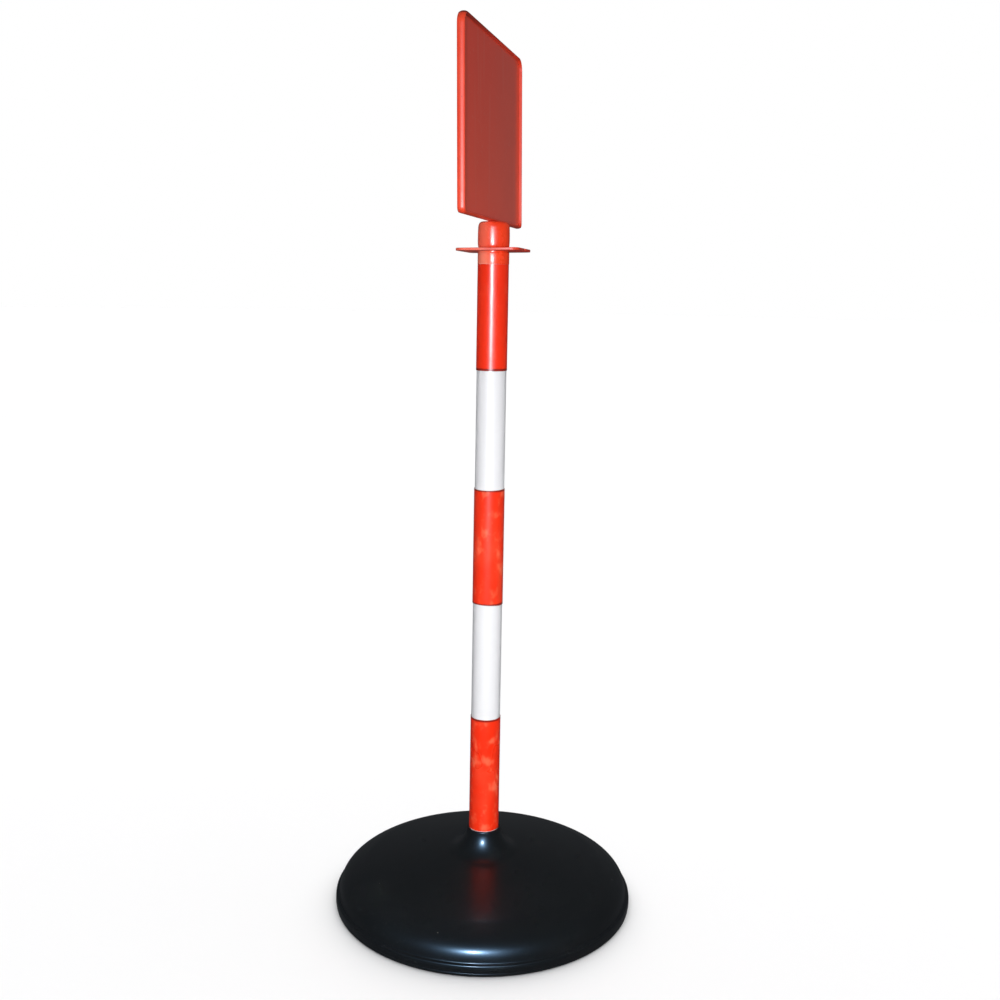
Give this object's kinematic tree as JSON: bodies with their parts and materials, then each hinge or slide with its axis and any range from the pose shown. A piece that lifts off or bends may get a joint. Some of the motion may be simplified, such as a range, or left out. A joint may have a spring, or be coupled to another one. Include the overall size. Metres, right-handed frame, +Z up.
{
  "type": "barrier post with sign board",
  "caption": "Free-standing red and white banded barrier post on a round weighted black base, with a chain plate and a landscape sign board that turns on top.",
  "frame": {"origin": "on the post's axis at floor level, the centre of the base's underside", "axes": "+Z up along the post; the sign board stands in the XZ plane and its front face looks towards -Y; +X runs along the board's width"},
  "size_m": [0.4106, 0.4106, 1.177],
  "materials": {
    "black_polyethylene": "smooth moulded black, soft gloss, fine handling scratches",
    "concrete": "rough cast",
    "socket_plastic": "smooth",
    "white_tube": "smooth extruded",
    "red_film": "glossy adhesive film, slightly blotchy",
    "head_red": "glossy moulded, slightly translucent",
    "panel_red": "glossy plain sheet"
  },
  "bodies": {
    "base": {"base_shell": "black_polyethylene", "base_ballast": "concrete", "base_underplate": "black_polyethylene", "post_socket": "socket_plastic"},
    "post": {"post_tube": "white_tube", "band_red_lower": "red_film", "band_red_middle": "red_film", "band_red_upper": "red_film", "tube_foot_plug": "black_polyethylene"},
    "head": {"chain_head": "head_red"},
    "sign": {"sign_socket": "head_red", "sign_frame": "head_red", "sign_panel_front": "panel_red", "sign_panel_rear": "panel_red"}
  },
  "joints": [
    {"name": "post_lift", "type": "slide", "parent": "base", "child": "post", "axis": [0, 0, 1], "range_m": [0, 0.095]},
    {"name": "head_lift", "type": "slide", "parent": "post", "child": "head", "axis": [0, 0, 1], "range_m": [0, 0.031]},
    {"name": "sign_turn", "type": "hinge", "parent": "head", "child": "sign", "pos_m": [0, 0, 0.912], "axis": [0, 0, 1], "continuous": true}
  ]
}
